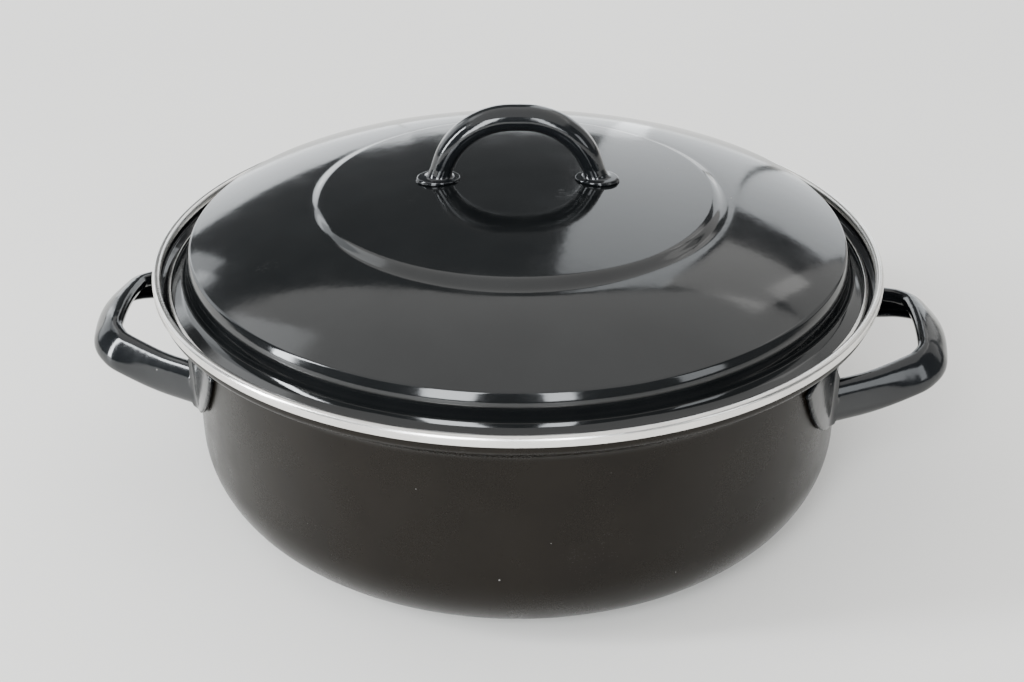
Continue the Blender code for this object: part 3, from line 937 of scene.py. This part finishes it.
def light_card(name, azimuth, low, high, spread, strength, colour, distance=FAR):
    """A light that stands round the dish and faces the top of the lid. Its angles are in
    degrees, seen from there: azimuth 0 is at +X and 90 at +Y, low and high are its lower
    and upper edges, and spread is its width. Strength is what a mirror would show."""
    middle = math.radians((low + high) / 2.0)
    around = math.radians(azimuth)
    width = 2.0 * distance * math.tan(math.radians(spread) / 2.0) * math.cos(middle)
    height = 2.0 * distance * math.tan(math.radians(high - low) / 2.0)
    way = Vector((math.cos(around) * math.cos(middle), math.sin(around) * math.cos(middle),
                  math.sin(middle)))
    area_light(name, way * distance, width, height, strength, colour)


def area_light(name, offset, width, height, strength, colour):
    """A rectangle of light that far from the top of the lid, facing it."""
    data = bpy.data.lights.new(name, "AREA")
    data.shape = "RECTANGLE"
    data.size = width
    data.size_y = height
    data.energy = strength * math.pi * width * height
    data.color = colour
    card = bpy.data.objects.new(name, data)
    bpy.context.scene.collection.objects.link(card)
    card.location = Vector((0.0, 0.0, LID_TOP)) + offset
    card.rotation_mode = "QUATERNION"
    card.rotation_quaternion = offset.to_track_quat("Z", "Y")
    card.visible_camera = False


def build_lights():
    """The windows, walls and ceiling that the enamel reflects, and the room's dim light."""
    area_light("ceiling", Vector((0.0, 0.0, CEILING_RISE)), CEILING_SIZE, CEILING_SIZE,
               1.3, WHITE)
    light_card("ceiling_behind_right", 64.5, 30.0, 43.0, 19.0, 1.5, WHITE)
    light_card("wall_behind_right", 52.0, 0.0, 37.0, 13.0, 1.0, WHITE)
    light_card("wall_right", 28.0, 5.0, 46.0, 28.0, 0.8, WHITE)
    light_card("window_behind_right", 65.5, FLOOR_LEVEL, 22.0, 16.5, 2.4, COOL, NEAR)
    light_card("window_pillar", 80.5, FLOOR_LEVEL, 44.0, 13.0, 2.4, COOL, NEAR)
    light_card("window_behind", 92.5, FLOOR_LEVEL, 9.0, 17.0, 3.0, COOL, NEAR)
    light_card("window_behind_left", 114.5, FLOOR_LEVEL, 11.0, 27.0, 3.0, COOL, NEAR)
    light_card("window_left", 146.5, 0.0, 28.0, 33.0, 2.3, COOL)
    light_card("window_left_top", 149.5, 28.0, 52.0, 27.0, 1.6, COOL)
    light_card("window_left_corner", 130.0, -2.0, 25.0, 8.0, 2.0, COOL)
    light_card("window_far_left", 195.5, 0.0, 42.0, 9.0, 42.0, COOL)
    light_card("window_front_left", 252.0, 2.0, 44.0, 18.0, 22.0, COOL)
    light_card("window_front_right", 286.0, 4.0, 40.0, 10.0, 18.0, COOL)
    light_card("window_right", 332.0, 4.0, 26.0, 16.0, 4.0, COOL)
    world = bpy.data.worlds.new("studio")
    world.use_nodes = True
    shade = world.node_tree.nodes["Background"]
    shade.inputs["Color"].default_value = ROOM_COLOUR
    shade.inputs["Strength"].default_value = ROOM_STRENGTH
    bpy.context.scene.world = world


def build_camera():
    """The camera looks down at the dish, from about 0.62 m off the middle of the rim."""
    data = bpy.data.cameras.new("camera")
    data.sensor_width = CAMERA_SENSOR
    data.lens = CAMERA_LENS
    data.clip_start = 0.01
    camera = bpy.data.objects.new("camera", data)
    bpy.context.scene.collection.objects.link(camera)
    camera.location = CAMERA_PLACE
    look = (CAMERA_AIM - CAMERA_PLACE).to_track_quat("-Z", "Y").to_matrix()
    camera.rotation_euler = (look @ Matrix.Rotation(CAMERA_ROLL, 3, "Z")).to_euler()
    bpy.context.scene.camera = camera


# ---------------------------------------------------------------- the object

def stand_for(piece, body, node):
    """The piece moves with that body and is shown in place of that CAD node."""
    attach(piece, body)
    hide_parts(node)


def build():
    build_camera()
    build_floor()
    build_lights()

    pot = build_pot()
    dress_pot(pot)
    stand_for(pot, "pot", "pot_body")

    strip = steel_strip("polished_strip", roughness=0.24)
    rim_band = turned("pot_rolled_band", pot_band_outline())
    lid_band = turned("lid_folded_band", lid_band_outline())
    for band in (rim_band, lid_band):
        band.data.materials.append(strip)
    stand_for(rim_band, "pot", "pot_rim_band")
    stand_for(lid_band, "lid", "lid_edge_band")

    lid = build_lid()
    lid.data.materials.append(lid_enamel())
    stand_for(lid, "lid", "lid_shell")

    handle_gloss = handle_enamel()
    bow = build_bow()
    right = build_side_handle()
    left = opposite(right, "left_side_loop")
    for handle in (bow, right, left):
        handle.data.materials.append(handle_gloss)
    stand_for(bow, "lid", "lid_bow_handle")
    stand_for(right, "pot", "right_side_handle")
    stand_for(left, "pot", "left_side_handle")


build()
